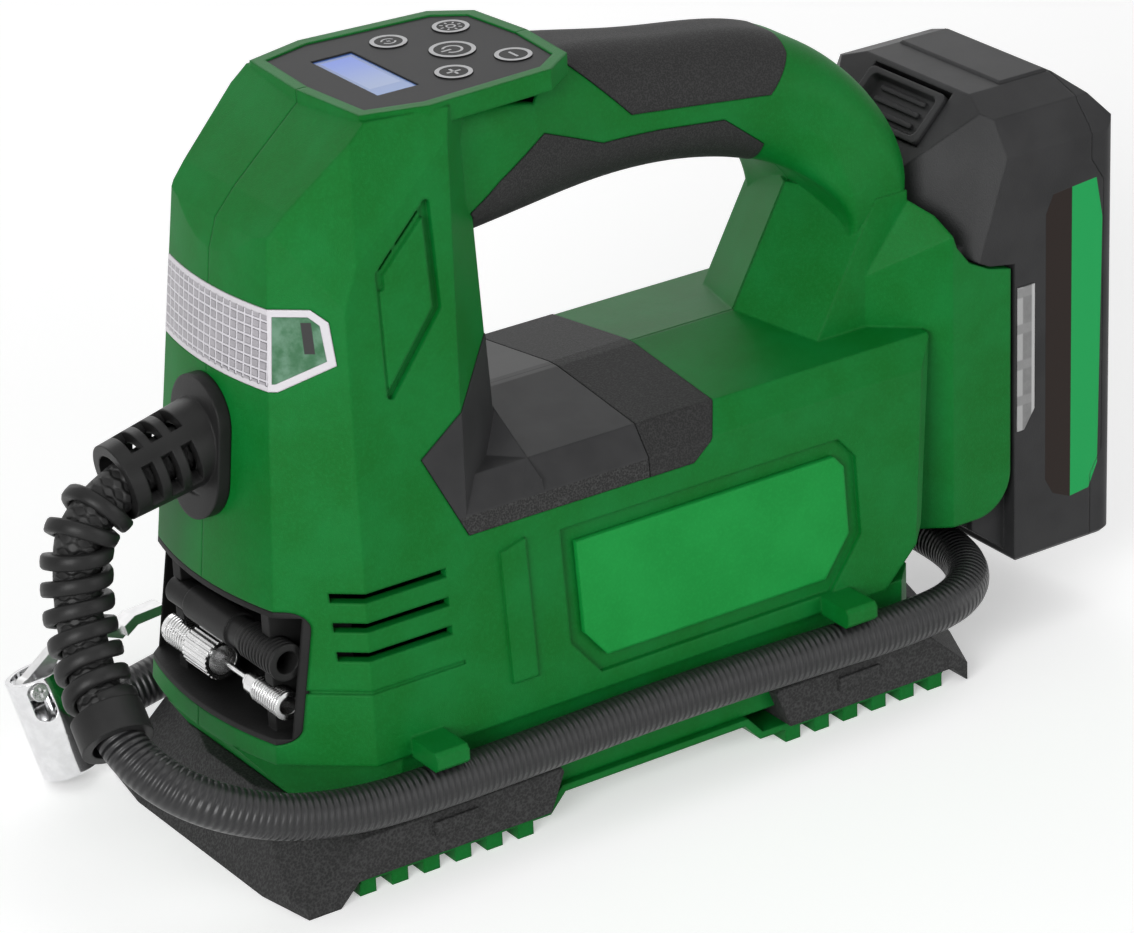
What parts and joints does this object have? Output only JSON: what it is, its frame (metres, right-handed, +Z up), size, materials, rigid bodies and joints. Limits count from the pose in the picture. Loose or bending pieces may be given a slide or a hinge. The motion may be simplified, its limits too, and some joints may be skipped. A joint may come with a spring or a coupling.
{
  "type": "portable tire inflator",
  "caption": "Cordless tyre inflator with a top handle, display keys, work lamp, stowed air hose with lever chuck, stored nozzles and a slide-on battery pack.",
  "frame": {"origin": "on the floor under the middle of the body and battery, hose left out", "axes": "+X from the hose outlet to the battery, +Y across the body to the side where the chuck hangs, +Z up"},
  "size_m": [0.3315, 0.1347, 0.206],
  "materials": {
    "green_shell": "satin moulded plastic, slightly mottled",
    "grained_grey": "grained matt plastic",
    "grip_rubber": "fine textured rubber",
    "cover_black": "satin plastic",
    "pad_rubber": "textured rubber",
    "badge_green": "satin plastic, bare",
    "panel_black": "satin black",
    "key_black": "satin black keys with pale symbols",
    "screen_blue": "backlit blue screen",
    "lens_clear": "clear prismatic plastic",
    "board_green": "circuit board",
    "liner_black": "satin black plastic",
    "nozzle_black": "satin black plastic",
    "bright_metal": "polished plate",
    "hose_rubber": "black rubber hose",
    "guard_plastic": "satin flexible plastic",
    "seal_rubber": "soft rubber",
    "pin_steel": "plated steel",
    "pack_grey": "satin dark grey plastic",
    "gauge_clear": "frosted clear plastic",
    "cell_can": "shrink wrapped cells",
    "inner_plastic": "plain plastic",
    "contact_brass": "plain contacts",
    "motor_steel": "plain steel",
    "cap_plastic": "plain plastic",
    "cast_light": "cast",
    "tube_rubber": "rubber tube"
  },
  "bodies": {
    "body": {"air_tube": "tube_rubber", "badge_left": "badge_green", "badge_right": "badge_green", "base_screws": "pin_steel", "bumper_front": "grained_grey", "bumper_rear": "grained_grey", "chuck_body": "bright_metal", "chuck_ferrule": "bright_metal", "chuck_pin": "pin_steel", "chuck_seal": "seal_rubber", "control_board": "board_green", "cylinder": "cast_light", "cylinder_head": "cast_light", "display_panel": "panel_black", "display_screen": "screen_blue", "dock_terminals": "contact_brass", "gearbox_frame": "cast_light", "grip_top": "grip_rubber", "grip_under": "grip_rubber", "hose": "hose_rubber", "hose_ferrule": "guard_plastic", "hose_flange": "liner_black", "hose_guard": "guard_plastic", "housing_left": "green_shell", "housing_right": "green_shell", "lamp_board": "board_green", "lamp_lens": "lens_clear", "motor_can": "motor_steel", "motor_cap": "cap_plastic", "nook_liner": "liner_black", "saddle_cover": "cover_black", "saddle_pad": "pad_rubber", "shell_screws": "pin_steel", "tread_plate": "green_shell"},
    "battery": {"battery_case": "pack_grey", "battery_cap": "pack_grey", "battery_gauge": "gauge_clear", "battery_cells": "cell_can", "cell_holder": "inner_plastic", "battery_terminals": "inner_plastic"},
    "latch": {"battery_latch": "pack_grey"},
    "key_power": {"button_power": "key_black"},
    "key_unit": {"button_unit": "key_black"},
    "key_lamp": {"button_lamp": "key_black"},
    "key_minus": {"button_minus": "key_black"},
    "key_plus": {"button_plus": "key_black"},
    "lever": {"chuck_lever": "bright_metal"},
    "nozzle": {"nozzle_cone": "nozzle_black"},
    "adapter": {"adapter_valve": "bright_metal"},
    "needle": {"needle_ball": "bright_metal"},
    "rotor": {"motor_rotor": "motor_steel"},
    "crank": {"crank_gear": "motor_steel"},
    "piston": {"piston_rod": "cast_light"}
  },
  "joints": [
    {"name": "battery_slide", "type": "slide", "parent": "body", "child": "battery", "axis": [0, 0, 1], "range_m": [0, 0.075]},
    {"name": "latch_press", "type": "slide", "parent": "battery", "child": "latch", "axis": [0.7071, 0, -0.7071], "range_m": [0, 0.0025], "stiffness_N_per_m": 600, "springref_m": -0.002},
    {"name": "key_power_press", "type": "slide", "parent": "body", "child": "key_power", "axis": [0, 0, -1], "range_m": [0, 0.0008], "stiffness_N_per_m": 300, "springref_m": -0.001},
    {"name": "key_unit_press", "type": "slide", "parent": "body", "child": "key_unit", "axis": [0, 0, -1], "range_m": [0, 0.0008], "stiffness_N_per_m": 300, "springref_m": -0.001},
    {"name": "key_lamp_press", "type": "slide", "parent": "body", "child": "key_lamp", "axis": [0, 0, -1], "range_m": [0, 0.0008], "stiffness_N_per_m": 300, "springref_m": -0.001},
    {"name": "key_minus_press", "type": "slide", "parent": "body", "child": "key_minus", "axis": [0, 0, -1], "range_m": [0, 0.0008], "stiffness_N_per_m": 300, "springref_m": -0.001},
    {"name": "key_plus_press", "type": "slide", "parent": "body", "child": "key_plus", "axis": [0, 0, -1], "range_m": [0, 0.0008], "stiffness_N_per_m": 300, "springref_m": -0.001},
    {"name": "lever_swing", "type": "hinge", "parent": "body", "child": "lever", "pos_m": [-0.15828, 0.06269, 0.028], "axis": [-0.0441, -0.973, 0.2268], "range_deg": [0, 75]},
    {"name": "nozzle_pull", "type": "slide", "parent": "body", "child": "nozzle", "axis": [-1, 0, 0], "range_m": [0, 0.02]},
    {"name": "adapter_pull", "type": "slide", "parent": "body", "child": "adapter", "axis": [-1, 0, 0], "range_m": [0, 0.02]},
    {"name": "needle_pull", "type": "slide", "parent": "body", "child": "needle", "axis": [-1, 0, 0], "range_m": [0, 0.02]},
    {"name": "rotor_turn", "type": "hinge", "parent": "body", "child": "rotor", "pos_m": [0.01175, 0, 0.064], "axis": [1, 0, 0], "continuous": true},
    {"name": "crank_turn", "type": "hinge", "parent": "body", "child": "crank", "pos_m": [-0.02025, 0, 0.0405], "axis": [1, 0, 0], "continuous": true},
    {"name": "piston_stroke", "type": "slide", "parent": "body", "child": "piston", "axis": [0, 0, -1], "range_m": [0, 0.016]}
  ],
  "couplings": [
    {"joint": "crank_turn", "follows": "rotor_turn", "ratio": -0.175}
  ]
}
